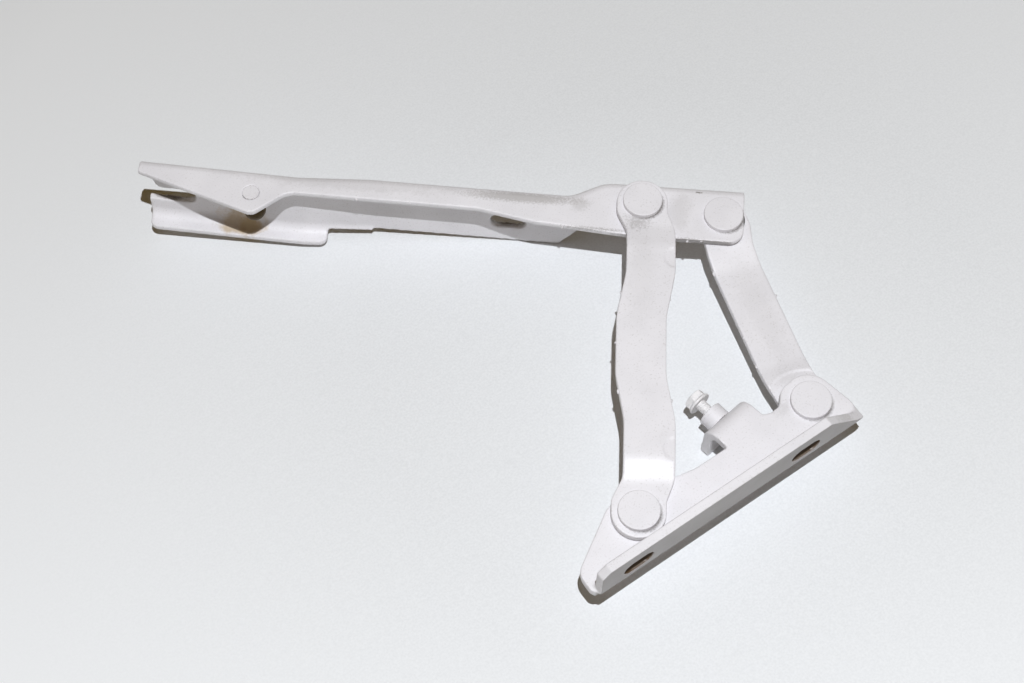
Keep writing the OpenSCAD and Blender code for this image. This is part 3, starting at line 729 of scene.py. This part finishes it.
# %% Table
TILT_ALONG_ARM = math.radians(-3.89)
TILT_ACROSS_ARM = math.radians(3.53)
TABLE_HALF = 0.55
TABLE_GAP_MM = 0.2
FIBRE_MM = 1.1
TONE_MIDDLE_MM = (60, -60, 0)
TONE_NEAR, TONE_FAR = 0.16, 0.42
TABLE_ROUGHNESS, TABLE_SPECULAR = 0.75, 0.2
lean = Vector((math.tan(TILT_ALONG_ARM), math.tan(TILT_ACROSS_ARM), 1))
normal = (along_arm @ lean).normalized()
lowest = min(normal.dot(v.co) for node in nodes.values() for v in node.data.vertices)
under = (cad_low + cad_high) / 2
under -= normal * (normal.dot(under) - lowest + TABLE_GAP_MM * MM)
table_turn = normal.to_track_quat("Z", "Y").to_matrix().to_4x4()
corners = [(x * TABLE_HALF, y * TABLE_HALF, 0) for x, y in ((-1, -1), (1, -1), (1, 1), (-1, 1))]
table_data = bpy.data.meshes.new("table")
table_data.from_pydata(corners, [], [(0, 1, 2, 3)])
table_data.transform(Matrix.Translation(under) @ table_turn)
table = bpy.data.objects.new("table", table_data)
bpy.context.scene.collection.objects.link(table)

laminate, tree, shader, coords = new_material("pale laminate")
fibre = add(tree, "ShaderNodeTexNoise", {"Vector": coords, "Scale": 1 / (FIBRE_MM * MM), "Detail": 3.0})
fibre = add(tree, "ShaderNodeMapRange", {
    "Value": fibre.outputs["Fac"], "From Min": 0.3, "From Max": 0.7,
}).outputs[0]
tone = add(tree, "ShaderNodeMix", {
    0: fibre, 6: linear("#dfe1e3"), 7: linear("#e8eaec"),
}, data_type="RGBA").outputs[2]
outward = add(tree, "ShaderNodeVectorMath", {
    0: coords, 1: under + in_row(*TONE_MIDDLE_MM),
}, operation="DISTANCE").outputs["Value"]
outward = add(tree, "ShaderNodeMapRange", {
    "Value": outward, "From Min": TONE_NEAR, "From Max": TONE_FAR,
}).outputs[0]
tone = add(tree, "ShaderNodeMix", {0: outward, 6: tone, 7: linear("#f2f4f6")}, data_type="RGBA").outputs[2]
tree.links.new(tone, shader.inputs["Base Color"])
shader.inputs["Roughness"].default_value = TABLE_ROUGHNESS
shader.inputs["Specular IOR Level"].default_value = TABLE_SPECULAR
table_data.materials.append(laminate)
print("table", round(-normal.dot(under) / MM, 1), "mm below the frame's origin")

# %% [markdown]
# ## The camera
# The photograph was taken by hand from about 0.9 m. The camera's place was worked out from the four pivots and
# the slots, and its rotation is built from the picture's own right and up directions.

# %% Camera
CAMERA_AT_MM = (-254.8, -194.4, 727.1)
LENS_MM, SENSOR_MM = 59.77, 36
right = Vector((0.8206, -0.5715, 0.0)).normalized()
up = Vector((0.5032, 0.7225, 0.4741))
up = (up - right * up.dot(right)).normalized()
back = right.cross(up)
lens = bpy.data.cameras.new("camera")
lens.lens = LENS_MM
lens.sensor_width = SENSOR_MM
camera = bpy.data.objects.new("camera", lens)
bpy.context.scene.collection.objects.link(camera)
camera_at = in_row(*CAMERA_AT_MM)
camera.matrix_world = Matrix.Translation(camera_at) @ Matrix((right, up, back)).transposed().to_4x4()
bpy.context.scene.camera = camera
print("camera", round((camera_at - under).length, 3), "m from the table's middle")

# %% [markdown]
# ## The light
# A flash above the lens throws short, crisp shadows that fall down the picture. The lamp stands on the line
# from the table through that flash, but further back, which evens out its light. Dim, warm room light fills
# the shadows. Where a view or a reflection looks past the table, it finds a pale backdrop instead of the room.

# %% Light
FLASH_UP_M, FLASH_RIGHT_M = 0.22, 0.035
FLASH_AWAY = 1.4
FLASH_WATTS = 61.8
FLASH_RADIUS_M = 0.008
FLASH_TINT = (0.93, 0.958, 1.0)
ROOM_STRENGTH = 0.085
flash_data = bpy.data.lights.new("flash", "POINT")
flash_data.shadow_soft_size = FLASH_RADIUS_M
flash_data.energy = FLASH_WATTS
flash_data.color = FLASH_TINT
flash = bpy.data.objects.new("flash", flash_data)
bpy.context.scene.collection.objects.link(flash)
over_lens = camera_at + up * FLASH_UP_M + right * FLASH_RIGHT_M
flash.location = under + (over_lens - under) * FLASH_AWAY

world = bpy.data.worlds.new("room")
bpy.context.scene.world = world
world.use_nodes = True
tree = world.node_tree
room = tree.nodes["Background"]
room.inputs["Color"].default_value = linear("#ffd066")
room.inputs["Strength"].default_value = ROOM_STRENGTH
backdrop = add(tree, "ShaderNodeBackground", {"Color": linear("#e2e4e8"), "Strength": 1.0}).outputs[0]
path = add(tree, "ShaderNodeLightPath")
seen = path.outputs["Is Camera Ray"]
for ray in ("Is Glossy Ray", "Is Transmission Ray"):
    seen = add(tree, "ShaderNodeMath", {0: seen, 1: path.outputs[ray]}, operation="MAXIMUM").outputs[0]
mixed = add(tree, "ShaderNodeMixShader", {0: seen, 1: room.outputs[0], 2: backdrop}).outputs[0]
tree.links.new(mixed, tree.nodes["World Output"].inputs["Surface"])
bpy.context.scene.view_settings.view_transform = "Standard"
print("flash of", FLASH_WATTS, "W above the lens")
